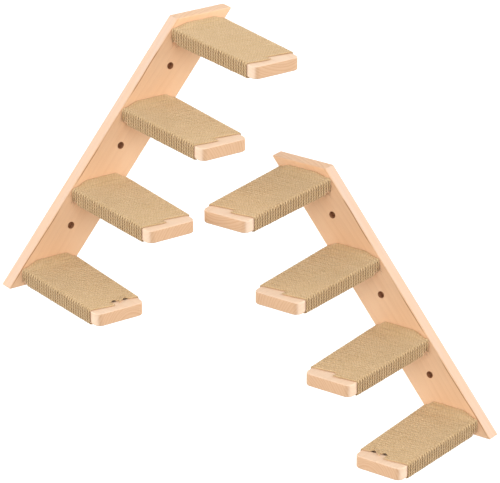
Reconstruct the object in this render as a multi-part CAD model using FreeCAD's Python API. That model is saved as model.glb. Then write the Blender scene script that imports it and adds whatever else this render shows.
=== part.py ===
"""Wall mounted cat steps: a handed pair of leaning boards, each with four rope-wound treads.

Units are millimetres. +Z is up. The origin is the middle wall-screw hole of the left unit, on the wall.
The left wall is the XZ plane, and the treads stand out from it towards -Y.
The right unit is the mirror image of the left one. It hangs lower, on a wall that meets the left wall
at a corner.
"""
import FreeCAD
import Part
import math
import os

Vector = FreeCAD.Vector

# Backboard: a plank that leans sideways, cut level at its foot and head
BOARD_WIDTH = 76.0
BOARD_THICKNESS = 20.0
LEAN_DEG = 39.8
HEAD_MARGIN = 15.5
FOOT_MARGIN = 6.0
BOARD_EDGE_RADIUS = 2.0

# Treads: tapered planks, numbered from the top down
STEP_RISE = 107.0
TREAD_LENGTHS = [205.5, 202.0, 199.5, 199.5]
TREAD_THICKNESS = 19.5
TREAD_WALL_WIDTH = 90.0
TREAD_END_WIDTH = 80.0
TREAD_CORNER_RADIUS = 11.0
TREAD_EDGE_RADIUS = 2.0
TREAD_TOP_BELOW_HOLE = 51.5
SEAT_TOLERANCE = 1.0

# Wall-screw holes: one between each two treads, counterbored from the front
WALL_HOLE_DIAMETER = 5.5
COUNTERBORE_DIAMETER = 10.5
COUNTERBORE_DEPTH = 9.0
HOLE_OFF_CENTRE = 3.5

# Countersunk wood screws, two through the back of the board into the end of each tread
SCREW_DIAMETER = 4.5
SCREW_LENGTH = 60.0
SCREW_HEAD_DIAMETER = 9.0
SCREW_HEAD_RIM = 0.5
SCREW_TIP_LENGTH = 5.0
SCREW_TIP_DIAMETER = 0.6
SCREW_SPACING = 44.0
SCREW_SINK = 0.3
SCREW_DRIVE_WIDTH = 1.1
SCREW_DRIVE_SPAN = 4.6
SCREW_DRIVE_DEPTH = 2.2
BOARD_HOLE_CLEARANCE = 0.15
TREAD_HOLE_CLEARANCE = 0.05
TREAD_HOLE_EXTRA_DEPTH = 1.0

# Jute winding: a flat band of thin cords side by side, wound round each tread. It starts at the lower edge
# of the outer side by the board. The first turn lies along the board and stands up a little over the middle
# of the top. Each turn crosses the sides square and moves along over the top and the underside, later ones
# more over the top. After its full turns the band goes up the side once more and ends half way over the top
WRAP_FULL_TURNS = 14
WRAP_TOP_SHARE = 0.8
WRAP_WALL_RISE = 5.0
WRAP_RISE_SHOULDER = 18.0
WRAP_THICKNESS = 2.0
WRAP_SELF_GAP = 0.65
WRAP_CLEARANCE = 0.45
WRAP_SAMPLE_STEP = 2.0
NEIGHBOUR_TURN_FROM = 0.6
NEIGHBOUR_TURN_TO = 1.4
WRAP_BOARD_GAP = 0.5
BARE_END = 18.0

# Place of the right unit's middle hole, and its wall's turn about the vertical
RIGHT_X = 299.5
RIGHT_Y = -287.0
RIGHT_Z = -213.0
RIGHT_TURN_DEG = -70.5

LEAN = math.tan(math.radians(LEAN_DEG))
LEVEL_WIDTH = BOARD_WIDTH / math.cos(math.radians(LEAN_DEG))
BOARD_FRONT = -BOARD_THICKNESS
TREAD_COUNT = len(TREAD_LENGTHS)
WALL_HOLE_COUNT = TREAD_COUNT - 1
INTO_ROOM = Vector(0, -1, 0)


def hole_height(index):
    """Height of a wall-screw hole, counted from the top. The middle one is the origin."""
    return STEP_RISE * ((WALL_HOLE_COUNT - 1) / 2 - index)


def tread_top(index):
    """Height of the top face of a tread, counted from the top."""
    return hole_height(index) + STEP_RISE - TREAD_TOP_BELOW_HOLE


def board_head():
    """Height of the board's level head."""
    return tread_top(0) + HEAD_MARGIN


def board_foot():
    """Height of the board's level foot."""
    return tread_top(TREAD_COUNT - 1) - TREAD_THICKNESS - FOOT_MARGIN


def board_centre(height):
    """X of the middle of the leaning board at a height."""
    return HOLE_OFF_CENTRE + LEAN * height


def cylinder(radius, length, start, direction):
    return Part.makeCylinder(radius, length, start, direction)


def edges_where(shape, test):
    return [edge for edge in shape.Edges if test(edge)]


def screw_places(index):
    """Middle axes of a tread's two screws on the wall plane."""
    height = tread_top(index) - TREAD_THICKNESS / 2
    middle = board_centre(height)
    return [Vector(middle + side * SCREW_SPACING / 2, 0, height) for side in (-1, 1)]


def head_cone_depth(radial_clearance):
    """Depth of a 90 degree countersink from the head's rim to the shank."""
    return (SCREW_HEAD_DIAMETER - SCREW_DIAMETER) / 2 - radial_clearance


def screw_blank(start):
    """Countersunk screw along -Y with its head just under the wall plane."""
    rim = start + INTO_ROOM * SCREW_SINK
    cone_start = rim + INTO_ROOM * SCREW_HEAD_RIM
    cone_depth = head_cone_depth(0)
    shank_length = SCREW_LENGTH - SCREW_HEAD_RIM - cone_depth - SCREW_TIP_LENGTH
    shank_start = cone_start + INTO_ROOM * cone_depth
    tip_start = shank_start + INTO_ROOM * shank_length
    head = cylinder(SCREW_HEAD_DIAMETER / 2, SCREW_HEAD_RIM, rim, INTO_ROOM)
    cone = Part.makeCone(SCREW_HEAD_DIAMETER / 2, SCREW_DIAMETER / 2, cone_depth, cone_start, INTO_ROOM)
    shank = cylinder(SCREW_DIAMETER / 2, shank_length, shank_start, INTO_ROOM)
    tip = Part.makeCone(SCREW_DIAMETER / 2, SCREW_TIP_DIAMETER / 2, SCREW_TIP_LENGTH, tip_start, INTO_ROOM)
    return head.fuse([cone, shank, tip]).removeSplitter()


def drive_recess(start):
    """Cross recess sunk into a screw's head."""
    face = start + INTO_ROOM * SCREW_SINK
    bars = []
    for span_x, span_z in ((SCREW_DRIVE_SPAN, SCREW_DRIVE_WIDTH), (SCREW_DRIVE_WIDTH, SCREW_DRIVE_SPAN)):
        corner = face + Vector(-span_x / 2, -SCREW_DRIVE_DEPTH, -span_z / 2)
        bars.append(Part.makeBox(span_x, SCREW_DRIVE_DEPTH, span_z, corner))
    return bars[0].fuse(bars[1])


def tread_screws(index):
    """The two screws that hold a tread."""
    screws = [screw_blank(place).cut(drive_recess(place)) for place in screw_places(index)]
    return Part.makeCompound(screws)


def screw_hole_in_board(start):
    """Clearance hole with a countersink that the screw's head seats in."""
    radius = SCREW_DIAMETER / 2 + BOARD_HOLE_CLEARANCE
    mouth_depth = SCREW_SINK + SCREW_HEAD_RIM
    cone_depth = head_cone_depth(BOARD_HOLE_CLEARANCE)
    cone_start = start + INTO_ROOM * mouth_depth
    through = cylinder(radius, BOARD_THICKNESS, start, INTO_ROOM)
    mouth = cylinder(SCREW_HEAD_DIAMETER / 2, mouth_depth, start, INTO_ROOM)
    cone = Part.makeCone(SCREW_HEAD_DIAMETER / 2, radius, cone_depth, cone_start, INTO_ROOM)
    return through.fuse([mouth, cone])


def screw_hole_in_tread(start):
    """Hole in a tread's end grain for one screw."""
    radius = SCREW_DIAMETER / 2 + TREAD_HOLE_CLEARANCE
    depth = SCREW_SINK + SCREW_LENGTH - BOARD_THICKNESS + TREAD_HOLE_EXTRA_DEPTH
    return cylinder(radius, depth, start + INTO_ROOM * BOARD_THICKNESS, INTO_ROOM)


def wall_screw_hole(index):
    """Counterbored hole for the screw that holds the unit to its wall."""
    height = hole_height(index)
    start = Vector(board_centre(height) - HOLE_OFF_CENTRE, 0, height)
    seat = start + INTO_ROOM * (BOARD_THICKNESS - COUNTERBORE_DEPTH)
    through = cylinder(WALL_HOLE_DIAMETER / 2, BOARD_THICKNESS, start, INTO_ROOM)
    counterbore = cylinder(COUNTERBORE_DIAMETER / 2, COUNTERBORE_DEPTH, seat, INTO_ROOM)
    return through.fuse(counterbore)


def backboard():
    """Leaning plank with level ends, rounded edges and all its holes."""
    corners = []
    foot = board_foot()
    head = board_head()
    for height, side in ((foot, -1), (foot, 1), (head, 1), (head, -1)):
        corners.append(Vector(board_centre(height) + side * LEVEL_WIDTH / 2, 0, height))
    outline = Part.makePolygon(corners + corners[:1])
    plank = Part.Face(outline).extrude(INTO_ROOM * BOARD_THICKNESS)
    plank = plank.makeFillet(BOARD_EDGE_RADIUS, edges_where(plank, off_the_wall))
    holes = [wall_screw_hole(index) for index in range(WALL_HOLE_COUNT)]
    for index in range(TREAD_COUNT):
        holes += [screw_hole_in_board(place) for place in screw_places(index)]
    return plank.cut(holes)


def off_the_wall(edge):
    """True for an edge that doesn't lie wholly in the wall plane."""
    return edge.BoundBox.YMin < BOARD_FRONT / 2


def tread_outline(length):
    """Plan of a tread about its own middle line: wide at the wall, round at the free corners."""
    wall_half = TREAD_WALL_WIDTH / 2
    end_half = TREAD_END_WIDTH / 2
    side_angle = math.atan((wall_half - end_half) / length)
    # distance from each free corner to where its arc meets the side and the end
    reach = TREAD_CORNER_RADIUS * math.tan((math.pi / 2 - side_angle) / 2)
    along = Vector(-math.sin(side_angle), -math.cos(side_angle), 0)
    edges = []
    points = {}
    for side in (-1, 1):
        corner = Vector(side * end_half, -length, 0)
        inward = Vector(-side, 0, 0)
        back = Vector(-along.x * side, -along.y, 0)
        on_side = corner + back * reach
        on_end = corner + inward * reach
        centre = on_end + Vector(0, TREAD_CORNER_RADIUS, 0)
        middle = centre + (corner - centre).normalize() * TREAD_CORNER_RADIUS
        edges.append(Part.Arc(on_side, middle, on_end).toShape())
        edges.append(Part.makeLine(Vector(side * wall_half, 0, 0), on_side))
        points[side] = on_end
    edges.append(Part.makeLine(points[-1], points[1]))
    edges.append(Part.makeLine(Vector(-wall_half, 0, 0), Vector(wall_half, 0, 0)))
    return Part.Wire(Part.__sortEdges__(edges))


def tread(index):
    """One tread, butted against the board's front."""
    top = tread_top(index)
    plank = Part.Face(tread_outline(TREAD_LENGTHS[index])).extrude(Vector(0, 0, -TREAD_THICKNESS))
    plank = plank.makeFillet(TREAD_EDGE_RADIUS, edges_where(plank, off_the_board))
    plank.translate(Vector(board_centre(top), BOARD_FRONT, top))
    return plank.cut([screw_hole_in_tread(place) for place in screw_places(index)])


def off_the_board(edge):
    """True for the edges of a tread's top and underside that don't touch the board."""
    level = edge.BoundBox.ZLength < TREAD_THICKNESS / 2
    return level and edge.BoundBox.YMin < -SEAT_TOLERANCE


def wrap_pitch(length):
    """Advance of the winding in a turn, so that it fills a tread from the board to its bare end."""
    covered = length - BARE_END - WRAP_BOARD_GAP + WRAP_SELF_GAP
    return covered / (WRAP_FULL_TURNS + 1)


def top_share(turn):
    """Share of its advance that a turn makes over the top, from none in the first one."""
    return WRAP_TOP_SHARE * turn / (WRAP_FULL_TURNS - 1)


def wrap_corners(length):
    """Corners of the winding's middle line, from a side by the board to the top by the tread's end."""
    pitch = wrap_pitch(length)
    lift = WRAP_CLEARANCE + WRAP_THICKNESS / 2
    start = WRAP_BOARD_GAP + (pitch - WRAP_SELF_GAP) / 2
    narrowing = (TREAD_WALL_WIDTH - TREAD_END_WIDTH) / 2 / length
    high = lift
    low = -TREAD_THICKNESS - lift
    points = []
    for turn in range(WRAP_FULL_TURNS + 1):
        here = start + turn * pitch
        beyond = here + top_share(turn) * pitch
        for side, height, place in ((-1, low, here), (-1, high, here), (1, high, beyond), (1, low, beyond)):
            half_width = TREAD_WALL_WIDTH / 2 - narrowing * place + lift
            points.append(Vector(side * half_width, -place, height))
    points[-2:] = [(points[-3] + points[-2]) / 2]
    points[0].z = -TREAD_THICKNESS
    points[1:2] = pressed_run(points[1], points[2])
    return points


def pressed_run(near, far):
    """The first run over the top, up to but without its far corner, standing up between its two ends."""
    share = WRAP_RISE_SHOULDER / (far - near).Length
    raised = [near + (far - near) * part + Vector(0, 0, WRAP_WALL_RISE) for part in (share, 1 - share)]
    return [near] + raised


def rounded_path(points, radius):
    """Straight runs joined by tangent arcs of one radius."""
    edges = []
    last = points[0]
    for before, corner, after in zip(points, points[1:], points[2:]):
        arrive = (corner - before).normalize()
        leave = (after - corner).normalize()
        turn = arrive.getAngle(leave)
        reach = radius * math.tan(turn / 2)
        arc_start = corner - arrive * reach
        arc_end = corner + leave * reach
        inward = (leave - arrive).normalize()
        middle = corner + inward * radius * (1 / math.cos(turn / 2) - 1)
        edges.append(Part.makeLine(last, arc_start))
        edges.append(Part.Arc(arc_start, middle, arc_end).toShape())
        last = arc_end
    edges.append(Part.makeLine(last, points[-1]))
    return Part.Wire(edges)


def band_section(pitch, points):
    """Flat section across the start of the winding, its width along the tread."""
    width = pitch - WRAP_SELF_GAP
    heading = (points[1] - points[0]).normalize()
    outward = heading.cross(Vector(0, 1, 0)).normalize()
    across = Vector(0, 1, 0)
    corners = []
    for side, layer in ((-1, -1), (1, -1), (1, 1), (-1, 1)):
        corners.append(points[0] + across * (side * width / 2) + outward * (layer * WRAP_THICKNESS / 2))
    return Part.makePolygon(corners + corners[:1])


def least_gap(path, pitch):
    """Least gap of the winding to itself, measured between points along its middle line."""
    width = pitch - WRAP_SELF_GAP
    samples = path.discretize(Distance=WRAP_SAMPLE_STEP)
    turn_samples = len(samples) / (WRAP_FULL_TURNS + 1)
    nearest = int(turn_samples * NEIGHBOUR_TURN_FROM)
    farthest = int(turn_samples * NEIGHBOUR_TURN_TO)
    least = pitch
    for first, here in enumerate(samples):
        for there in samples[first + nearest:first + farthest]:
            apart = abs(here.y - there.y) - width
            layer = math.hypot(here.x - there.x, here.z - there.z) - WRAP_THICKNESS
            least = min(least, math.hypot(max(apart, 0), max(layer, 0)))
    return least


def jute_wrap(index):
    """The winding of one tread, as one unbroken band."""
    length = TREAD_LENGTHS[index]
    pitch = wrap_pitch(length)
    points = wrap_corners(length)
    path = rounded_path(points, TREAD_EDGE_RADIUS + WRAP_CLEARANCE + WRAP_THICKNESS / 2)
    shell = Part.BRepOffsetAPI.MakePipeShell(path)
    shell.setBiNormalMode(Vector(0, 1, 0))
    shell.add(band_section(pitch, points))
    shell.build()
    shell.makeSolid()
    band = shell.shape()
    top = tread_top(index)
    band.translate(Vector(board_centre(top), BOARD_FRONT, top))
    gap = least_gap(path, pitch)
    print(f"wrap {index + 1}: {WRAP_FULL_TURNS} full turns, pitch {pitch:.2f}, least gap {gap:.3f}")
    return band


def unit_parts():
    """Every piece of the left unit, by name."""
    parts = {"backboard": backboard()}
    for index in range(TREAD_COUNT):
        number = index + 1
        parts[f"tread_{number}"] = tread(index)
        parts[f"tread_{number}_screws"] = tread_screws(index)
        parts[f"jute_wrap_{number}"] = jute_wrap(index)
    return parts


def right_hand(shape):
    """The same piece of the right unit: mirrored, turned and moved to its place."""
    mirrored = shape.mirror(Vector(0, 0, 0), Vector(1, 0, 0))
    mirrored.rotate(Vector(0, 0, 0), Vector(0, 0, 1), RIGHT_TURN_DEG)
    mirrored.translate(Vector(RIGHT_X, RIGHT_Y, RIGHT_Z))
    return mirrored


def main():
    os.makedirs("parts", exist_ok=True)
    for name, shape in unit_parts().items():
        shape.exportStep(f"parts/left_{name}.step")
        right_hand(shape).exportStep(f"parts/right_{name}.step")


main()
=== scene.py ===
"""Looks of the wall mounted cat steps: planed pine, wound jute and zinc-plated screws. Metres, +Z up."""

import math

import bpy
import numpy as np
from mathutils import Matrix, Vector

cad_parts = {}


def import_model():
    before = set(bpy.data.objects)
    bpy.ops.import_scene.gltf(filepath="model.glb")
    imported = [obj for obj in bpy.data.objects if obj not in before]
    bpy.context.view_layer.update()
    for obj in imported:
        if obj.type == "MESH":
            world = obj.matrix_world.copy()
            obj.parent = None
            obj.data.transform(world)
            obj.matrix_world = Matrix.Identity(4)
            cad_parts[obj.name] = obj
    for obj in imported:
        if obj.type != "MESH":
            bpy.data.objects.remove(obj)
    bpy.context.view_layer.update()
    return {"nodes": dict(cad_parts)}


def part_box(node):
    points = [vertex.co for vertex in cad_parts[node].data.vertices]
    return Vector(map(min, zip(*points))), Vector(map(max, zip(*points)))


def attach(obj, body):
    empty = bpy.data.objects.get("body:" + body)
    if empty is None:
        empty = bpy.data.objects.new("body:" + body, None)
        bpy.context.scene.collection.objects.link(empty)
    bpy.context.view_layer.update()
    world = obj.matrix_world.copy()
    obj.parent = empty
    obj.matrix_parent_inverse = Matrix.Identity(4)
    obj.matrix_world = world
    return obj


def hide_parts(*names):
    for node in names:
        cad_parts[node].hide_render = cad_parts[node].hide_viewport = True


# The two units: each is mirrored or not, turned about the vertical and moved
UNITS = {
    "left": {"mirror": 1.0, "turn": 0.0, "place": (0.0, 0.0, 0.0)},
    "right": {"mirror": -1.0, "turn": math.radians(-70.5), "place": (0.2995, -0.287, -0.213)},
}

# Backboards and their wall holes
LEAN = math.radians(39.8)
STEP_RISE = 0.107
HOLE_RADIUS = 0.00525
HOLE_PITCH = STEP_RISE / math.cos(LEAN)

# Treads, numbered from the top down, with their half widths at the board and at the free end
TREAD_COUNT = 4
TREAD_THICKNESS = 0.0195
TREAD_EDGE_RADIUS = 0.002
TREAD_WALL_HALF = 0.045
TREAD_END_HALF = 0.040

# Winding: full turns, strands in a turn, the share of a pitch that the last full turn moves out over the top
# (the first one none, and those between grow evenly), bare wood beyond, and the gaps to the board and
# between turns
FULL_TURNS = 14
STRANDS = 2
TOP_SHARE = 0.8
BARE_END = 0.018
WALL_GAP = 0.0005
BAND_GAP = 0.00075

# Strand: thickness, gap beside it where it is pressed flat and what it gains where it stands round, height
# over the wood, plies and the length of their lay, depth of the grooves between them as a share, how much
# flatter it is on the top and the underside than at the sides, and how much wider on a slope
STRAND_THICKNESS = 0.0024
STRAND_SIDE_GAP = 0.0001
ROUND_SIDE_GAP = 0.0003
STRAND_LIFT = 0.00027
PLIES = 3
LAY = 0.0135
RIDGE = 0.36
TOP_PRESS = 0.84
UNDER_PRESS = 0.4
SLOPE_WIDENING = 0.6

# Outline of a strand across: the power of an ellipse where it is flat and where it is round
FLAT_POWER = 0.62
ROUND_POWER = 0.95

# Ends of a strand, and of a short piece: length of the taper, in metres and as a share, and how thin it gets
END_TAPER = 0.010
END_SHARE = 0.35
PIECE_TAPER = 0.25
PIECE_END_SHARE = 0.45

# Wobbles along a strand: strength and period. The width's and the thickness's are shares
WOBBLES = {
    "lift": (0.00012, 0.05),
    "sway": (0.00022, 0.035),
    "width": (0.04, 0.06),
    "thickness": (0.06, 0.04),
    "twist": (0.16, 0.05),
    "tone": (0.5, 0.12),
}
WOBBLE_WAVES = 5

# Steps of the strand meshes: along the flats, round the tread's edges and round the strand
RING_STEP = 0.00105
EDGE_RINGS = 6
PROFILE_POINTS = 14

# Hump of the first turns against the board: its height on each tread, its reach along the tread, and the
# widths of its near and far shoulders as shares of the tread's half width
WALL_RISES = (0.0045, 0.0065, 0.0080, 0.0080)
WALL_RISE_REACH = 0.0135
NEAR_SHOULDER = 0.60
FAR_SHOULDER = 0.35

# Loose rope end on the lowest treads: points over the width, outwards from the last full turn's edge and up,
# and the place over the width, from -1 to 1, at which that edge is taken
LOOSE_END = (
    (0.008, 0.0045, 0.0012),
    (0.012, 0.0015, 0.0022),
    (0.018, -0.0025, 0.0034),
    (0.024, -0.0060, 0.0030),
    (0.028, -0.0085, 0.0012),
)
LOOSE_OVER = 0.3
LOOSE_WIDTH = 0.0036
LOOSE_THICKNESS = 0.0022
LOOSE_TONE = 0.9
LOOSE_RELIEF = 0.5
LOOSE_RINGS = 28

# Notches beside the loose end, placed by shares of the tread's half width, with their depth as a share of
# the strand's width, and the inner strand that shows in them, coloured dark as painted shade
NOTCH_PLACES = (0.10, 0.56)
NOTCH_FROM = -0.2
NOTCH_REACH = 0.095
NOTCH_DEPTH = 0.80
BURIED_WIDTH = 0.0048
BURIED_THICKNESS = 0.0015
BURIED_INWARD = 0.0028
BURIED_HEIGHT = 0.0009
BURIED_SHADE_TONE = 0.0
BURIED_RINGS = 12

# Reliefs from the first of these to the second darken a strand towards painted shade
PAINTED_SHADE_RELIEFS = (2.5, 6.0)

# Stray fibres of each winding, of which a share springs from its first fifth, and those that hang against
# the board, of which a share springs from the tread's side. Ranges are those of random draws
WINDING_SEED = 40
FIBRES = 150
FIRST_FIFTH_SHARE = 0.4
FIBRE_RADIUS = 0.00011
FIBRE_REACH = (0.003, 0.011)
FIBRE_TONE = (0.3, 1.0)
FIBRE_RINGS = 7
FIBRE_SIDES = 4
WALL_FIBRES = 36
WALL_FIBRE_OVER = (-0.95, 0.1)
WALL_FIBRE_DOWN = (0.004, 0.019)
WALL_FIBRE_ASIDE = 0.0015
WALL_FIBRE_ROOT = 0.002
WALL_FIBRE_OUT = 0.0014
WALL_FIBRE_LEAN = 0.0011
WALL_FIBRE_RADIUS = 1.3 * FIBRE_RADIUS
WALL_FIBRE_REACH = (0.003, 0.012)
LOWEST_WALL_FIBRE_REACH = (0.003, 0.004)
WALL_FIBRE_RELIEF = (0.0, 2.0)
SIDE_FIBRE_SHARE = 0.35

# Pine: colours of its wide faces, edges, warmer streaks, latewood and sawn ends, how much the latewood
# shows, and how far the rings wander
BOARD_PINE = {
    "tones": {
        "face": (248, 207, 168),
        "edge": (228, 199, 177),
        "warm": (241, 194, 150),
        "late": (204, 146, 96),
        "end": (246, 206, 168),
        "end_late": (214, 158, 110),
    },
    "late_share": 0.16,
    "wander": 0.03,
}
TREAD_PINE = {
    "tones": {
        "face": (246, 217, 190),
        "edge": (244, 216, 190),
        "warm": (244, 208, 174),
        "late": (214, 162, 114),
        "end": (224, 184, 147),
        "end_late": (196, 142, 100),
    },
    "late_share": 0.22,
    "wander": 0.016,
}
# Painted shade inside the wall holes, then the growth line near the board's outer edge
HOLE_SHADE_TONE = (168, 112, 74)
EDGE_LINE_TONE = (172, 116, 74)

# Pith in a plank's own frame, over its width and through it, and the spacing of its rings
BOARD_RINGS = ((0.055, -0.075), 0.0072)
TREAD_RINGS = (
    ((0.012, 0.060), 0.0042),
    ((-0.085, -0.045), 0.0046),
    ((0.085, -0.070), 0.0044),
    ((0.018, -0.036), 0.0040),
)

# Places over the board's width between which the growth line along its outer edge sways
EDGE_LINE_PLACES = (-0.0341, -0.0323)

# Grain noises: scale along the plank as a share of that across it, scale across, detail and roughness
GRAIN = {
    "fibre": (0.02, 2100.0, 2.0, 0.6),
    "streak": (0.03, 330.0, 2.0, 0.6),
    "blotch": (0.35, 26.0, 2.0, 0.5),
    "pores": (0.3, 1500.0, 1.0, 0.5),
}
RING_LENGTHWISE = 0.28
RING_WANDER_SCALE = 9.0

# Jute, from its darkest fibres to its palest, and what is mixed over them: coarse and pale tones, painted
# shade in the grooves between plies, and painted shade for a strand that lies in shade
JUTE_FIBRES = (
    (0.0, (184, 146, 100)),
    (0.35, (210, 176, 130)),
    (0.7, (224, 193, 149)),
    (1.0, (240, 215, 176)),
)
JUTE_COARSE = (202, 168, 116)
JUTE_PALE = (230, 200, 158)
JUTE_GROOVE_SHADE = (130, 90, 50)
JUTE_PAINTED_SHADE = (74, 42, 18)

ZINC_DARK = (190, 192, 190)
ZINC_LIGHT = (214, 213, 205)

# View of the photograph
CAMERA_PLACE = (-2.2011312, -3.5399348, 1.6071837)
CAMERA_TARGET = (0.0773057, -0.2449597, -0.0948073)
CAMERA_AZIMUTH = -34.7
CAMERA_LENS = 216.0
CAMERA_REACH = 100.0
SENSOR_WIDTH = 36.0

# Soft lights: azimuth from the camera's, elevation, strength and angular size
LIGHTS = {
    "left_light": (-85, 19, 1.6, 45),
    "right_light": (85, 19, 1.65, 45),
    "front_light": (0, 32, 1.05, 60),
}
LIGHT_DISTANCE = 3
SKY_STRENGTH = 0.55

FLOOR_Z = -1.0
FLOOR_HALF = 30.0
FLOOR_SHADES = (0.60, 0.64)
FLOOR_GLOW = 0.6


def srgb(red, green, blue):
    """Linear colour of an 8-bit sRGB one."""
    linear = []
    for value in (red, green, blue):
        share = value / 255
        linear.append(share / 12.92 if share <= 0.04045 else ((share + 0.055) / 1.055) ** 2.4)
    return (*linear, 1.0)


class Nodes:
    """Short way to write a node tree."""

    def __init__(self, tree):
        self.tree = tree
        tree.nodes.clear()

    def add(self, kind, **settings):
        node = self.tree.nodes.new(kind)
        for name, value in settings.items():
            setattr(node, name, value)
        return node

    def feed(self, socket, value):
        if isinstance(value, bpy.types.NodeSocket):
            self.tree.links.new(value, socket)
        else:
            socket.default_value = value

    def math(self, operation, first, second=None):
        node = self.add("ShaderNodeMath", operation=operation)
        self.feed(node.inputs[0], first)
        if second is not None:
            self.feed(node.inputs[1], second)
        return node.outputs[0]

    def vector(self, operation, first, second):
        node = self.add("ShaderNodeVectorMath", operation=operation)
        self.feed(node.inputs[0], first)
        self.feed(node.inputs[1], second)
        return node.outputs["Vector"]

    def distance(self, x, y):
        """Length of a vector in a plane."""
        node = self.add("ShaderNodeVectorMath", operation="LENGTH")
        self.feed(node.inputs[0], self.combine(x, y, 0.0))
        return node.outputs["Value"]

    def combine(self, x, y, z):
        node = self.add("ShaderNodeCombineXYZ")
        for socket, value in zip(node.inputs, (x, y, z)):
            self.feed(socket, value)
        return node.outputs[0]

    def split(self, vector):
        node = self.add("ShaderNodeSeparateXYZ")
        self.feed(node.inputs[0], vector)
        return node.outputs

    def noise(self, vector, scale, detail=2.0, roughness=0.5):
        node = self.add("ShaderNodeTexNoise")
        self.feed(node.inputs["Vector"], vector)
        node.inputs["Scale"].default_value = scale
        node.inputs["Detail"].default_value = detail
        node.inputs["Roughness"].default_value = roughness
        return node.outputs["Fac"]

    def remap(self, value, low, high, to_low=0.0, to_high=1.0, smooth=False):
        node = self.add("ShaderNodeMapRange", interpolation_type="SMOOTHSTEP" if smooth else "LINEAR")
        for socket, number in zip(node.inputs, (value, low, high, to_low, to_high)):
            self.feed(socket, number)
        return node.outputs[0]

    def ramp(self, value, stops):
        node = self.add("ShaderNodeValToRGB")
        elements = node.color_ramp.elements
        while len(elements) < len(stops):
            elements.new(0.5)
        for element, (place, colour) in zip(elements, stops):
            element.position = place
            element.color = colour
        self.feed(node.inputs[0], value)
        return node.outputs["Color"]

    def mix(self, share, first, second):
        node = self.add("ShaderNodeMix", data_type="RGBA")
        self.feed(node.inputs[0], share)
        self.feed(node.inputs[6], first)
        self.feed(node.inputs[7], second)
        return node.outputs[2]

    def bump(self, height, distance, strength):
        node = self.add("ShaderNodeBump")
        node.inputs["Strength"].default_value = strength
        node.inputs["Distance"].default_value = distance
        self.feed(node.inputs["Height"], height)
        return node.outputs[0]

    def surface(self, colour, roughness, normal, **constants):
        """The material's shader. Constants name its own sockets, with _ for a space."""
        shader = self.add("ShaderNodeBsdfPrincipled")
        self.feed(shader.inputs["Base Color"], colour)
        self.feed(shader.inputs["Roughness"], roughness)
        self.feed(shader.inputs["Normal"], normal)
        for name, value in constants.items():
            shader.inputs[name.replace("_", " ")].default_value = value
        self.finish("ShaderNodeOutputMaterial", shader.outputs[0])

    def finish(self, kind, shader_output):
        output = self.add(kind)
        self.tree.links.new(shader_output, output.inputs["Surface"])


def new_material(name):
    material = bpy.data.materials.new(name)
    material.use_nodes = True
    return material, Nodes(material.node_tree)


def plank_frame(nodes, place, turn, mirror):
    """Coordinates of a plank: x over its width, y through it and z along it, and the normal in them."""
    coordinates = nodes.add("ShaderNodeTexCoord")
    mapping = nodes.add("ShaderNodeMapping", vector_type="TEXTURE")
    nodes.feed(mapping.inputs["Vector"], coordinates.outputs["Object"])
    mapping.inputs["Location"].default_value = place
    mapping.inputs["Rotation"].default_value = turn
    mapping.inputs["Scale"].default_value = (mirror, 1.0, 1.0)
    rotate = nodes.add("ShaderNodeVectorRotate", rotation_type="EULER_XYZ", invert=True)
    nodes.feed(rotate.inputs["Vector"], nodes.add("ShaderNodeNewGeometry").outputs["Normal"])
    rotate.inputs["Rotation"].default_value = turn
    return mapping.outputs[0], rotate.outputs[0]


def grain(nodes, seeded, kind):
    """One of the grain noises, drawn out along the plank."""
    lengthwise, scale, detail, roughness = GRAIN[kind]
    return nodes.noise(nodes.vector("MULTIPLY", seeded, (1.0, 1.0, lengthwise)), scale, detail, roughness)


def growth_rings(nodes, plank, seeded, rings, wander):
    """Latewood of rings round a pith line that wanders along the plank: even, and fading in and out."""
    pith, spacing = rings
    along = nodes.vector("MULTIPLY", seeded, (1.0, 1.0, RING_LENGTHWISE))
    elsewhere = nodes.vector("ADD", along, (7.7, 3.1, 5.3))
    from_pith = []
    for part, middle, place in zip(nodes.split(plank), pith, (along, elsewhere)):
        sway = nodes.math("SUBTRACT", nodes.noise(place, RING_WANDER_SCALE), 0.5)
        straight = nodes.math("SUBTRACT", part, middle)
        from_pith.append(nodes.math("ADD", straight, nodes.math("MULTIPLY", sway, wander)))
    radius = nodes.distance(*from_pith)
    by_ring = nodes.vector("ADD", nodes.combine(radius, 0.0, 0.0), (0.0, pith[0] * 31, 0.0))
    uneven = nodes.math("MULTIPLY", nodes.noise(by_ring, 160.0, 1.0), 1.3)
    count = nodes.math("ADD", nodes.math("DIVIDE", radius, spacing), uneven)
    latewood = nodes.ramp(nodes.math("FRACT", count), [
        (0.0, (0, 0, 0, 1)),
        (0.40, (0.08, 0.08, 0.08, 1)),
        (0.78, (0.50, 0.50, 0.50, 1)),
        (0.92, (1, 1, 1, 1)),
        (1.0, (0, 0, 0, 1)),
    ])
    strength = nodes.remap(nodes.noise(along, 14.0, 1.0), 0.3, 0.75, 0.35, 1.0)
    return latewood, nodes.math("MULTIPLY", latewood, strength)


def hole_painted_shade(nodes, plank, colour):
    """Painted shade inside the wall holes, which turns their wood a darker brown."""
    x, _, z = nodes.split(plank)
    nearest = nodes.math("MULTIPLY", nodes.math("ROUND", nodes.math("DIVIDE", z, HOLE_PITCH)), HOLE_PITCH)
    away = nodes.distance(x, nodes.math("SUBTRACT", z, nearest))
    inside = nodes.remap(away, HOLE_RADIUS + 0.0001, HOLE_RADIUS + 0.0006, 0.9, 0.0)
    return nodes.mix(inside, colour, srgb(*HOLE_SHADE_TONE))


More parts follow.
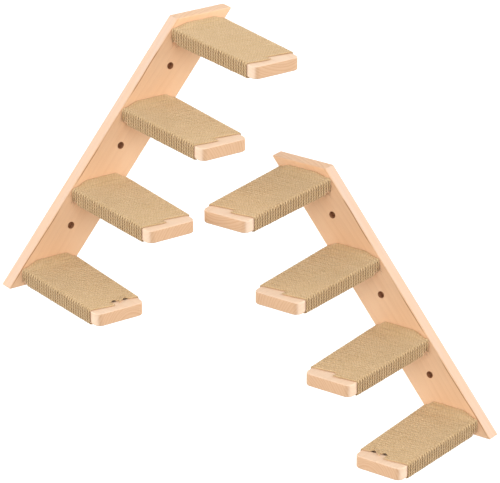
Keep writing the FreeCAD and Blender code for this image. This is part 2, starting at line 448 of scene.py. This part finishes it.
def edge_line(nodes, plank, colour, wide):
    """One dark growth line in the board's front, just inside its outer edge, that fades in and out."""
    x, _, z = nodes.split(plank)
    sway = nodes.noise(nodes.combine(0.0, 0.0, z), 11.0, 1.0)
    place = nodes.remap(sway, 0.3, 0.7, *EDGE_LINE_PLACES)
    away = nodes.math("ABSOLUTE", nodes.math("SUBTRACT", x, place))
    line = nodes.remap(away, 0.0004, 0.0012, 1.0, 0.0, smooth=True)
    patches = nodes.noise(nodes.combine(3.7, 0.0, z), 13.0, 0.0)
    fade = nodes.remap(patches, 0.42, 0.56, 0.15, 0.8, smooth=True)
    share = nodes.math("MULTIPLY", nodes.math("MULTIPLY", line, fade), wide)
    return nodes.mix(share, colour, srgb(*EDGE_LINE_TONE))


def pine(name, seat, rings, seed, kind, board=False):
    """Planed pine. The seat is the place, turn and mirroring of the plank's own frame."""
    material, nodes = new_material(name)
    plank, normal = plank_frame(nodes, *seat)
    seeded = nodes.vector("ADD", plank, (seed * 1.37, seed * 0.71, seed * 2.13))
    latewood, late = growth_rings(nodes, plank, seeded, rings, kind["wander"])
    fibre = grain(nodes, seeded, "fibre")
    streak = grain(nodes, seeded, "streak")
    blotch = grain(nodes, seeded, "blotch")
    _, through, endwise = (nodes.math("ABSOLUTE", part) for part in nodes.split(normal))
    wide = nodes.remap(through, 0.45, 0.85, 0.0, 1.0, smooth=True)
    end_grain = nodes.remap(endwise, 0.55, 0.9, 0.0, 1.0, smooth=True)

    tones = {place: srgb(*tone) for place, tone in kind["tones"].items()}
    colour = nodes.mix(wide, tones["edge"], tones["face"])
    colour = nodes.mix(nodes.remap(blotch, 0.35, 0.65, 0.0, 0.5), colour, tones["warm"])
    colour = nodes.mix(nodes.remap(streak, 0.42, 0.75, 0.0, 0.25), colour, tones["warm"])
    colour = nodes.mix(nodes.math("MULTIPLY", late, kind["late_share"]), colour, tones["late"])
    colour = nodes.mix(nodes.remap(fibre, 0.5, 0.85, 0.0, 0.16), colour, tones["late"])

    # sawn ends drink more finish and look more orange
    pores = grain(nodes, seeded, "pores")
    end_colour = nodes.mix(nodes.math("MULTIPLY", latewood, 0.5), tones["end"], tones["end_late"])
    end_colour = nodes.mix(nodes.remap(pores, 0.5, 0.8, 0.0, 0.3), end_colour, tones["end_late"])
    colour = nodes.mix(end_grain, colour, end_colour)
    if board:
        colour = edge_line(nodes, plank, colour, wide)
        # painted shade inside the wall holes
        colour = hole_painted_shade(nodes, plank, colour)

    relief = nodes.math("ADD", nodes.math("MULTIPLY", late, 0.6), nodes.math("MULTIPLY", fibre, 0.5))
    relief = nodes.math("ADD", relief, nodes.math("MULTIPLY", streak, 0.4))
    roughness = nodes.remap(nodes.math("ADD", late, blotch), 0.2, 1.5, 0.62, 0.48)
    nodes.surface(colour, roughness, nodes.bump(relief, 0.00018, 0.8), Specular_IOR_Level=0.3)
    return material


def jute(name):
    """Twisted jute. The strands' UV runs along them in lays, and round them from 0 to 1."""
    material, nodes = new_material(name)
    u, v, _ = nodes.split(nodes.add("ShaderNodeUVMap", uv_map="strand").outputs[0])
    tone = nodes.add("ShaderNodeAttribute", attribute_name="tone").outputs["Fac"]
    relief = nodes.add("ShaderNodeAttribute", attribute_name="relief").outputs["Fac"]
    twist = nodes.math("MULTIPLY", nodes.math("SUBTRACT", v, u), float(PLIES))
    turn = nodes.math("MULTIPLY", twist, 2 * math.pi)
    groove = nodes.math("SUBTRACT", 0.5, nodes.math("MULTIPLY", nodes.math("COSINE", turn), 0.5))
    fibre_place = nodes.combine(nodes.math("MULTIPLY", u, 1.6), nodes.math("MULTIPLY", twist, 5.0), tone)
    fibre = nodes.noise(fibre_place, 2.2, 4.0, 0.65)
    coarse_place = nodes.combine(nodes.math("MULTIPLY", u, 0.5), twist, tone)
    coarse = nodes.noise(coarse_place, 1.3)
    stops = [(place, srgb(*fibre_tone)) for place, fibre_tone in JUTE_FIBRES]
    colour = nodes.ramp(nodes.remap(fibre, 0.28, 0.72), stops)
    colour = nodes.mix(nodes.remap(coarse, 0.4, 0.7, 0.0, 0.4), colour, srgb(*JUTE_COARSE))
    colour = nodes.mix(nodes.remap(tone, 0.0, 1.0, 0.0, 0.35), colour, srgb(*JUTE_PALE))
    # painted shade in the grooves between the plies, less where the relief is low
    groove_shade = nodes.math("MULTIPLY", nodes.remap(groove, 0.45, 1.0, 0.0, 0.9, smooth=True), relief)
    colour = nodes.mix(groove_shade, colour, srgb(*JUTE_GROOVE_SHADE))
    # painted shade over a whole strand whose relief lies in the shade range
    colour = nodes.mix(nodes.remap(relief, *PAINTED_SHADE_RELIEFS, 0.0, 0.8), colour, srgb(*JUTE_PAINTED_SHADE))
    groove_depth = nodes.math("MULTIPLY", nodes.math("MULTIPLY", groove, relief), 0.6)
    height = nodes.math("SUBTRACT", nodes.math("MULTIPLY", fibre, 0.8), groove_depth)
    nodes.surface(colour, 0.88, nodes.bump(height, 0.0006, 0.9), Sheen_Weight=0.15, Sheen_Roughness=0.5,
                  Specular_IOR_Level=0.2)
    return material


def zinc(name):
    """Zinc-plated steel with faint mottling."""
    material, nodes = new_material(name)
    place = nodes.add("ShaderNodeTexCoord").outputs["Object"]
    mottle = nodes.noise(place, 900.0, 3.0)
    brush = nodes.noise(nodes.vector("MULTIPLY", place, (1.0, 0.1, 1.0)), 4000.0)
    colour = nodes.ramp(mottle, [(0.3, srgb(*ZINC_DARK)), (0.7, srgb(*ZINC_LIGHT))])
    roughness = nodes.remap(mottle, 0.3, 0.7, 0.28, 0.42)
    nodes.surface(colour, roughness, nodes.bump(brush, 0.00005, 0.5), Metallic=1.0)
    return material


def to_unit(points, unit):
    """Points of the left unit, moved to where the same points of a unit are."""
    settings = UNITS[unit]
    cosine, sine = math.cos(settings["turn"]), math.sin(settings["turn"])
    x = points[:, 0] * settings["mirror"]
    y = points[:, 1]
    moved = np.stack([cosine * x - sine * y, sine * x + cosine * y, points[:, 2]], axis=1)
    return moved + np.array(settings["place"])


def wobble(kind, length_along, generator):
    """Smooth seeded wobble along a strand, up to its strength either way."""
    strength, period = WOBBLES[kind]
    total = np.zeros_like(length_along)
    for _ in range(WOBBLE_WAVES):
        own_period = period * generator.uniform(0.6, 1.8)
        phase = generator.uniform(0, 6.28)
        total += np.sin(2 * math.pi * length_along / own_period + phase)
    return strength * (total / WOBBLE_WAVES)


def smooth_step(value):
    value = np.clip(value, 0, 1)
    return value * value * (3 - 2 * value)


def directions(line):
    """Direction of a line at each of its points, and the length of a step there."""
    forward = np.gradient(line, axis=0)
    steps = np.linalg.norm(forward, axis=1)
    return forward / steps[:, None], steps


def unit_length(vectors):
    return vectors / np.linalg.norm(vectors, axis=1)[:, None]


def round_angles(count):
    return 2 * math.pi * np.arange(count) / count


def taper(to_end, reach, least):
    """Share of its size that a strand has near an end: the least at the end, and 1 beyond the reach."""
    return least + (1 - least) * np.sqrt(np.clip(to_end / reach, 0, 1))


def power(values, exponent):
    """The values' own signs with their sizes raised to a power."""
    return np.sign(values) * np.abs(values) ** exponent


def ply_swell(angle, lays, relief):
    """Share of its size that a strand has round each ring, less in the grooves between its plies."""
    return 1 + RIDGE * relief * (np.cos(PLIES * (angle[None, :] - 2 * math.pi * lays[:, None])) - 1) / 2


def tube_rings(line, across, upward, side, up):
    """Rings round a line, with each ring's points given in its two directions."""
    return line[:, None, :] + across[:, None, :] * side[:, :, None] + upward[:, None, :] * up[:, :, None]


def winding_pitch(tread):
    """How far one turn lies from the next along a tread."""
    return (tread["length"] - BARE_END - WALL_GAP + BAND_GAP) / (FULL_TURNS + 1)


def first_turn(pitch):
    """How far the middle of the first turn lies from the board."""
    return WALL_GAP + (pitch - BAND_GAP) / 2


def winding_path():
    """The whole winding, as five rows: place over the width and height of the core, from -1 to 1, outward
    direction over the width and up, and pitches moved along the tread."""
    middle_half = (TREAD_WALL_HALF + TREAD_END_HALF) / 2
    flat = max(2, round((middle_half - TREAD_EDGE_RADIUS) / RING_STEP))
    upright = max(2, round((TREAD_THICKNESS - 2 * TREAD_EDGE_RADIUS) / RING_STEP))
    rows = []

    def run(count, start, end, outward, moved_start, moved_end):
        for step in range(count):
            part = step / count
            core = [a + (b - a) * part for a, b in zip(start, end)]
            rows.append((*core, *outward, moved_start + (moved_end - moved_start) * part))

    def edge(core, angle_from, moved):
        for step in range(EDGE_RINGS):
            angle = angle_from - math.pi / 2 * step / EDGE_RINGS
            rows.append((*core, math.cos(angle), math.sin(angle), moved))

    for turn in range(FULL_TURNS + 1):
        beyond = turn + TOP_SHARE * turn / (FULL_TURNS - 1)
        run(upright, (-1, -1), (-1, 1), (-1, 0), turn, turn)
        edge((-1, 1), -math.pi, turn)
        if turn == FULL_TURNS:
            run(flat, (-1, 1), (0, 1), (0, 1), turn, (turn + beyond) / 2)
            break
        run(2 * flat, (-1, 1), (1, 1), (0, 1), turn, beyond)
        edge((1, 1), math.pi / 2, beyond)
        run(upright, (1, 1), (1, -1), (1, 0), beyond, beyond)
        edge((1, -1), 0.0, beyond)
        run(2 * flat, (1, -1), (-1, -1), (0, -1), beyond, turn + 1)
        edge((-1, -1), -math.pi / 2, turn + 1)
    return np.array(rows).T


def hump(tread, over, on_top, out):
    """How high the first turns stand up against the board over the middle of the top, and their slope."""
    shoulder = smooth_step((1 + over) / NEAR_SHOULDER) * smooth_step((1 - over) / FAR_SHOULDER) * on_top
    rise = WALL_RISES[tread["number"] - 1] * np.exp(-(out / WALL_RISE_REACH) ** 2) * shoulder
    return rise, -2 * out / WALL_RISE_REACH ** 2 * rise


def notch_share(over, on_top, moved):
    """Share of its width that the last full turn gives up on the top, on both sides of the loose end."""
    last_turn = on_top & (over > NOTCH_FROM) & (moved >= FULL_TURNS - 1) & (moved < FULL_TURNS)
    notches = sum(np.exp(-((over - place) / NOTCH_REACH) ** 2) for place in NOTCH_PLACES)
    return NOTCH_DEPTH * notches * last_turn


def strand_rings(tread, strand, generator):
    """Rings of one strand of a winding, in the left unit's frame, and its lays, tone and relief at each."""
    over, high, side_out, up_out, moved = winding_path()
    level = np.zeros(len(over))
    top_face = up_out > 0.999
    pitch = winding_pitch(tread)
    out = first_turn(pitch) + (strand + 0.5 - STRANDS / 2) * pitch / STRANDS + moved * pitch
    half = TREAD_WALL_HALF - (TREAD_WALL_HALF - TREAD_END_HALF) * out / tread["length"]
    rise, slope = hump(tread, over, top_face & (high > 0.999), out)

    rough_length = np.arange(len(over)) * RING_STEP
    lift = STRAND_LIFT + STRAND_THICKNESS / 2 + wobble("lift", rough_length, generator)
    core_half = TREAD_THICKNESS / 2 - TREAD_EDGE_RADIUS
    core = np.stack([over * (half - TREAD_EDGE_RADIUS), -out, high * core_half + rise], axis=1)
    line = core + np.stack([side_out, level, up_out], axis=1) * (TREAD_EDGE_RADIUS + lift)[:, None]
    line[:, 1] += wobble("sway", rough_length, generator)
    line += np.array([tread["middle"], tread["front"], tread["top"] - TREAD_THICKNESS / 2])

    forward, steps = directions(line)
    length_along = np.cumsum(steps)
    outward = np.stack([side_out, slope, up_out], axis=1)
    outward = unit_length(outward - forward * np.sum(outward * forward, axis=1)[:, None])
    across = np.cross(forward, outward)

    # strands lie pressed flat on the top, less so below, stand rounder at the sides, and thin at both ends;
    # the relief also sets the painted shade in their grooves, least on the top
    relief = 1 - TOP_PRESS * np.clip(up_out, 0, 1) ** 2 - UNDER_PRESS * np.clip(-up_out, 0, 1) ** 2
    width = pitch / STRANDS - STRAND_SIDE_GAP - ROUND_SIDE_GAP * relief
    width *= 1 + wobble("width", length_along, generator)
    width *= 1 + SLOPE_WIDENING * np.abs(slope)
    if tread["number"] == TREAD_COUNT and strand == STRANDS - 1:
        lost = notch_share(over, top_face, moved) * width
        line[:, 1] += lost / 2
        width -= lost
    thickness = STRAND_THICKNESS * (1 + wobble("thickness", length_along, generator))
    to_end = np.minimum(length_along - length_along[0], length_along[-1] - length_along)
    thinner = taper(to_end, END_TAPER, END_SHARE)

    angle = round_angles(PROFILE_POINTS)
    lays = length_along / LAY + wobble("twist", length_along, generator)
    swell = ply_swell(angle, lays, relief[:, None])
    exponent = (FLAT_POWER + (ROUND_POWER - FLAT_POWER) * relief)[:, None]
    side = power(np.cos(angle), exponent) * swell * (width * thinner / 2)[:, None]
    up = power(np.sin(angle), exponent) * swell * (thickness * thinner / 2)[:, None]
    tone = 0.5 + wobble("tone", length_along, generator)
    return tube_rings(line, across, outward, side, up), lays, tone, relief


def last_edge(tread, over):
    """How far out the last full turn's edge lies on the top, at a place over the width from -1 to 1."""
    pitch = winding_pitch(tread)
    moved = FULL_TURNS - 1 + TOP_SHARE * (1 + over) / 2
    return first_turn(pitch) + (moved + 0.5) * pitch


def twisted_tube(line, width, thickness, tone, relief):
    """Rings of a short piece of strand along a line that lies nearly level, thinner at both ends."""
    forward, steps = directions(line)
    across = unit_length(np.cross(forward, (0, 0, 1)))
    upward = np.cross(across, forward)
    lays = np.cumsum(steps) / LAY
    angle = round_angles(PROFILE_POINTS)
    swell = ply_swell(angle, lays, 1)
    place = np.linspace(0, 1, len(line))
    thinner = taper(np.minimum(place, 1 - place), PIECE_TAPER, PIECE_END_SHARE)
    side = np.cos(angle) * swell * (width / 2 * thinner)[:, None]
    up = np.sin(angle) * swell * (thickness / 2 * thinner)[:, None]
    rings = tube_rings(line, across, upward, side, up)
    return rings, lays, np.full(len(line), tone), np.full(len(line), relief)


def loose_end(tread):
    """The rope's end, which lies over the edge of the last full turn and dips under the one before."""
    corners = np.array(LOOSE_END)
    place = np.linspace(0, 1, LOOSE_RINGS)
    knots = np.linspace(0, 1, len(corners))
    over, out, height = (np.interp(place, knots, corners[:, axis]) for axis in range(3))
    for row in (over, out, height):
        row[1:-1] = (row[:-2] + 2 * row[1:-1] + row[2:]) / 4
    line = np.stack([
        tread["middle"] + over,
        tread["front"] - last_edge(tread, LOOSE_OVER) - out,
        tread["top"] + height,
    ], axis=1)
    return twisted_tube(line, LOOSE_WIDTH, LOOSE_THICKNESS, LOOSE_TONE, LOOSE_RELIEF)


def notch_shade_strand(tread, place):
    """A short stretch of inner strand in a notch beside the loose end, coloured dark as painted shade."""
    along = np.linspace(-NOTCH_REACH, NOTCH_REACH, BURIED_RINGS)
    line = np.stack([
        tread["middle"] + (place + along) * TREAD_END_HALF,
        np.full(BURIED_RINGS, tread["front"] - last_edge(tread, place) + BURIED_INWARD),
        np.full(BURIED_RINGS, tread["top"] + BURIED_HEIGHT),
    ], axis=1)
    return twisted_tube(line, BURIED_WIDTH, BURIED_THICKNESS, BURIED_SHADE_TONE, PAINTED_SHADE_RELIEFS[1])


def fibre_tube(line, beside, radius):
    """Rings of a thin fibre along a line, thinner towards its tip. Beside is any direction across it."""
    forward, _ = directions(line)
    first = unit_length(np.cross(forward, beside))
    second = np.cross(forward, first)
    angle = round_angles(FIBRE_SIDES)
    thin = radius * (1.15 - np.linspace(0, 1, len(line)))[:, None]
    return tube_rings(line, first, second, thin * np.cos(angle), thin * np.sin(angle))


def wall_fibre(tread, generator):
    """A stray fibre that hangs from the first turn on the near side and lies against the board."""
    over = generator.uniform(*WALL_FIBRE_OVER)
    across, down = over * TREAD_WALL_HALF - WALL_FIBRE_ASIDE, TREAD_THICKNESS + WALL_FIBRE_ROOT
    if generator.random() < SIDE_FIBRE_SHARE:
        across, down = -TREAD_WALL_HALF - WALL_FIBRE_ROOT, generator.uniform(*WALL_FIBRE_DOWN)
    root = np.array([across, -WALL_FIBRE_OUT, -down])
    lowest = tread["number"] == TREAD_COUNT
    reach = generator.uniform(*(LOWEST_WALL_FIBRE_REACH if lowest else WALL_FIBRE_REACH))
    drift = generator.uniform(-0.7, 0.7)
    share = np.linspace(0, 1, FIBRE_RINGS)[:, None]
    line = root + reach * share * np.array([drift, 0.0, -1.0])
    line[:, 0] += reach * generator.uniform(-0.35, 0.35) * share[:, 0] ** 2
    line[:, 1] += WALL_FIBRE_LEAN * np.sin(math.pi / 2 * share[:, 0])
    line += np.array([tread["middle"], tread["front"], tread["top"]])
    rings = fibre_tube(line, (0, 1, 0), WALL_FIBRE_RADIUS)
    relief = generator.uniform(*WALL_FIBRE_RELIEF)
    return rings, share[:, 0] * reach / LAY, np.zeros(FIBRE_RINGS), np.full(FIBRE_RINGS, relief)


def stray_fibre(strand_points, generator):
    """A fibre that springs from a strand: it leaves along the strand and curls away."""
    count = len(strand_points)
    ring_limit = count - 5 if generator.random() > FIRST_FIFTH_SHARE else count // 5
    ring = int(generator.integers(4, ring_limit))
    around = int(generator.integers(1, PROFILE_POINTS // 2))
    root = strand_points[ring, around]
    centre = strand_points[ring].mean(axis=0)
    outward = (root - centre) / np.linalg.norm(root - centre)
    along = strand_points[ring + 2].mean(axis=0) - centre
    along *= generator.choice([-1.0, 1.0]) / np.linalg.norm(along)
    aside = np.cross(outward, along) * generator.uniform(-1, 1)
    reach = generator.uniform(*FIBRE_REACH)
    curl = generator.normal(0, 0.35, 3)
    share = np.linspace(0, 1, FIBRE_RINGS)[:, None]
    away = along * share * 0.8 + outward * 0.45 * share * (1.2 - share)
    away = away + aside * share * 0.6 + curl * share ** 2 * 0.5
    rings = fibre_tube(root - outward * 0.0003 + reach * away, outward + 0.01, FIBRE_RADIUS)
    tone = generator.uniform(*FIBRE_TONE)
    return rings, share[:, 0] * reach / LAY, np.full(FIBRE_RINGS, tone), np.zeros(FIBRE_RINGS)


def new_store():
    """Empty lists for the tubes of one mesh."""
    lists = ("points", "quads", "uvs", "tone", "relief", "caps", "cap_u")
    return {"count": 0, **{name: [] for name in lists}}


def add_tube(store, rings, lays, tone, relief):
    """Adds a closed tube through rings to the lists of a store."""
    count, around = rings.shape[:2]
    first = store["count"]
    store["points"].append(rings.reshape(-1, 3))
    store["tone"].append(np.repeat(tone, around))
    store["relief"].append(np.repeat(relief, around))
    row = np.arange(count - 1)[:, None] * around
    here = np.arange(around)[None, :]
    after = (here + 1) % around
    quads = np.stack([row + here, row + after, row + around + after, row + around + here], axis=2)
    store["quads"].append(quads.reshape(-1, 4) + first)
    u_here = np.repeat(lays[:-1], around)
    u_next = np.repeat(lays[1:], around)
    v_here = np.tile(np.arange(around) / around, count - 1)
    v_after = v_here + 1 / around
    uvs = np.stack([u_here, v_here, u_here, v_after, u_next, v_after, u_next, v_here], axis=1)
    store["uvs"].append(uvs.reshape(-1, 4, 2))
    for ring, flip in ((0, True), (count - 1, False)):
        loop = first + ring * around + np.arange(around)
        store["caps"].append(loop[::-1] if flip else loop)
        store["cap_u"].append(lays[ring])
    store["count"] += count * around


def tube_object(name, store, unit, material):
    """Mesh object of the stored tubes, in a unit's place."""
    points = to_unit(np.concatenate(store["points"]), unit)
    quads = np.concatenate(store["quads"])
    uvs = np.concatenate(store["uvs"])
    caps = store["caps"]
    if UNITS[unit]["mirror"] < 0:
        quads = quads[:, ::-1]
        uvs = uvs[:, ::-1]
        caps = [loop[::-1] for loop in caps]
    mesh = bpy.data.meshes.new(name)
    sizes = [4] * len(quads) + [len(loop) for loop in caps]
    corners = np.concatenate([quads.reshape(-1), *caps])
    starts = np.concatenate([[0], np.cumsum(sizes)[:-1]])
    mesh.vertices.add(len(points))
    mesh.vertices.foreach_set("co", points.astype(np.float32).reshape(-1))
    mesh.loops.add(len(corners))
    mesh.loops.foreach_set("vertex_index", corners.astype(np.int32))
    mesh.polygons.add(len(sizes))
    mesh.polygons.foreach_set("loop_start", starts.astype(np.int32))
    mesh.update(calc_edges=True)
    cap_uvs = [np.tile([u, 0.5], (len(loop), 1)) for u, loop in zip(store["cap_u"], caps)]
    all_uvs = np.concatenate([uvs.reshape(-1, 2), *cap_uvs])
    mesh.uv_layers.new(name="strand").data.foreach_set("uv", all_uvs.astype(np.float32).reshape(-1))
    for attribute in ("tone", "relief"):
        values = mesh.attributes.new(attribute, "FLOAT", "POINT")
        values.data.foreach_set("value", np.concatenate(store[attribute]).astype(np.float32))
    mesh.shade_smooth()
    mesh.validate()
    mesh.materials.append(material)
    piece = bpy.data.objects.new(name, mesh)
    bpy.context.scene.collection.objects.link(piece)
    return piece


def left_tread(number):
    """Sizes of a tread, read from the left unit's solid."""
    low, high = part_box(f"left_tread_{number}")
    return {
        "number": number,
        "middle": (low.x + high.x) / 2,
        "front": high.y,
        "length": high.y - low.y,
        "top": high.z,
    }


def winding_tubes(tread):
    """All tubes of one winding. Both units have the same ones, mirrored."""
    generator = np.random.default_rng(WINDING_SEED + tread["number"])
    store = new_store()
    for strand in range(STRANDS):
        strand_tube = strand_rings(tread, strand, generator)
        add_tube(store, *strand_tube)
        for _ in range(FIBRES // STRANDS):
            add_tube(store, *stray_fibre(strand_tube[0], generator))
    if tread["number"] == TREAD_COUNT:
        add_tube(store, *loose_end(tread))
        for place in NOTCH_PLACES:
            add_tube(store, *notch_shade_strand(tread, place))
    for _ in range(WALL_FIBRES):
        add_tube(store, *wall_fibre(tread, generator))
    return store


def wind_treads(material):
    for unit in UNITS:
        for number in range(1, TREAD_COUNT + 1):
            store = winding_tubes(left_tread(number))
            piece = tube_object(f"{unit}_jute_{number}", store, unit, material)
            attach(piece, "root")
            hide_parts(f"{unit}_jute_wrap_{number}")


def dress(node_name, material):
    mesh = frame["nodes"][node_name].data
    mesh.materials.clear()
    mesh.materials.append(material)


def dress_planks():
    """Pine on the planks, each with its own grain, and zinc on the screws."""
    steel = zinc("zinc_plate")
    for unit, settings in UNITS.items():
        turn = settings["turn"]
        mirror = settings["mirror"]
        seat = (settings["place"], (0.0, LEAN * mirror, turn), mirror)
        board = pine(f"{unit}_board_pine", seat, BOARD_RINGS, 1.0, BOARD_PINE, board=True)
        dress(f"{unit}_backboard", board)
        for number, rings in enumerate(TREAD_RINGS, start=1):
            tread = left_tread(number)
            corner = to_unit(np.array([[tread["middle"], tread["front"], tread["top"]]]), unit)[0]
            seat = (tuple(corner), (math.pi / 2, 0.0, turn), mirror)
            wood = pine(f"{unit}_tread_{number}_pine", seat, rings, 2.0 + number, TREAD_PINE)
            dress(f"{unit}_tread_{number}", wood)
            dress(f"{unit}_tread_{number}_screws", steel)


def backdrop_rays(nodes):
    """1 for rays that show the backdrop to the camera, in gloss or through glass, and 0 for the light's."""
    path = nodes.add("ShaderNodeLightPath")
    seen = nodes.math("MAXIMUM", path.outputs["Is Camera Ray"], path.outputs["Is Glossy Ray"])
    return nodes.math("MAXIMUM", seen, path.outputs["Is Transmission Ray"])


def floor():
    """Pale floor that takes the object's shadow, with a glow that only backdrop rays see."""
    mesh = bpy.data.meshes.new("studio_floor")
    corners = [(x * FLOOR_HALF, y * FLOOR_HALF, FLOOR_Z) for x, y in ((-1, -1), (1, -1), (1, 1), (-1, 1))]
    mesh.from_pydata(corners, [], [(0, 1, 2, 3)])
    ground = bpy.data.objects.new("studio_floor", mesh)
    bpy.context.scene.collection.objects.link(ground)
    material, nodes = new_material("pale_floor")
    place = nodes.add("ShaderNodeTexCoord").outputs["Object"]
    shade = nodes.remap(nodes.noise(place, 3.0), 0.3, 0.7, *FLOOR_SHADES)
    diffuse = nodes.add("ShaderNodeBsdfDiffuse")
    nodes.feed(diffuse.inputs["Color"], nodes.combine(shade, shade, shade))
    glow = nodes.add("ShaderNodeEmission")
    nodes.feed(glow.inputs["Strength"], nodes.math("MULTIPLY", backdrop_rays(nodes), FLOOR_GLOW))
    both = nodes.add("ShaderNodeAddShader")
    nodes.tree.links.new(diffuse.outputs[0], both.inputs[0])
    nodes.tree.links.new(glow.outputs[0], both.inputs[1])
    nodes.finish("ShaderNodeOutputMaterial", both.outputs[0])
    mesh.materials.append(material)


def world():
    """Even light on the object, and white for backdrop rays."""
    sky = bpy.data.worlds.new("studio")
    bpy.context.scene.world = sky
    sky.use_nodes = True
    nodes = Nodes(sky.node_tree)
    mix = nodes.add("ShaderNodeMixShader")
    nodes.feed(mix.inputs[0], backdrop_rays(nodes))
    for socket, strength in zip(mix.inputs[1:], (SKY_STRENGTH, 1.0)):
        light = nodes.add("ShaderNodeBackground")
        light.inputs["Color"].default_value = (1, 1, 1, 1)
        light.inputs["Strength"].default_value = strength
        nodes.tree.links.new(light.outputs[0], socket)
    nodes.finish("ShaderNodeOutputWorld", mix.outputs[0])


def sun(name, azimuth, elevation, strength, size):
    """Soft far light. Azimuth 0 shines along +Y, as the camera's azimuths do."""
    lamp = bpy.data.lights.new(name, "SUN")
    lamp.energy = strength
    lamp.angle = math.radians(size)
    thing = bpy.data.objects.new(name, lamp)
    across, upward = math.radians(azimuth), math.radians(elevation)
    level = math.cos(upward)
    back = Vector((math.sin(across) * level, -math.cos(across) * level, math.sin(upward)))
    thing.rotation_euler = back.to_track_quat("Z", "Y").to_euler()
    thing.location = back * LIGHT_DISTANCE
    bpy.context.scene.collection.objects.link(thing)


def camera():
    view = bpy.data.cameras.new("photo_view")
    view.lens = CAMERA_LENS
    view.sensor_width = SENSOR_WIDTH
    view.sensor_fit = "HORIZONTAL"
    view.clip_end = CAMERA_REACH
    thing = bpy.data.objects.new("photo_view", view)
    thing.location = CAMERA_PLACE
    aim = Vector(CAMERA_TARGET) - Vector(CAMERA_PLACE)
    thing.rotation_euler = aim.to_track_quat("-Z", "Y").to_euler()
    bpy.context.scene.collection.objects.link(thing)
    bpy.context.scene.camera = thing


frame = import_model()

camera()
world()
floor()
for light_name, (azimuth, elevation, strength, size) in LIGHTS.items():
    sun(light_name, CAMERA_AZIMUTH + azimuth, elevation, strength, size)
bpy.context.scene.view_settings.view_transform = "Standard"

dress_planks()
wind_treads(jute("twisted_jute"))
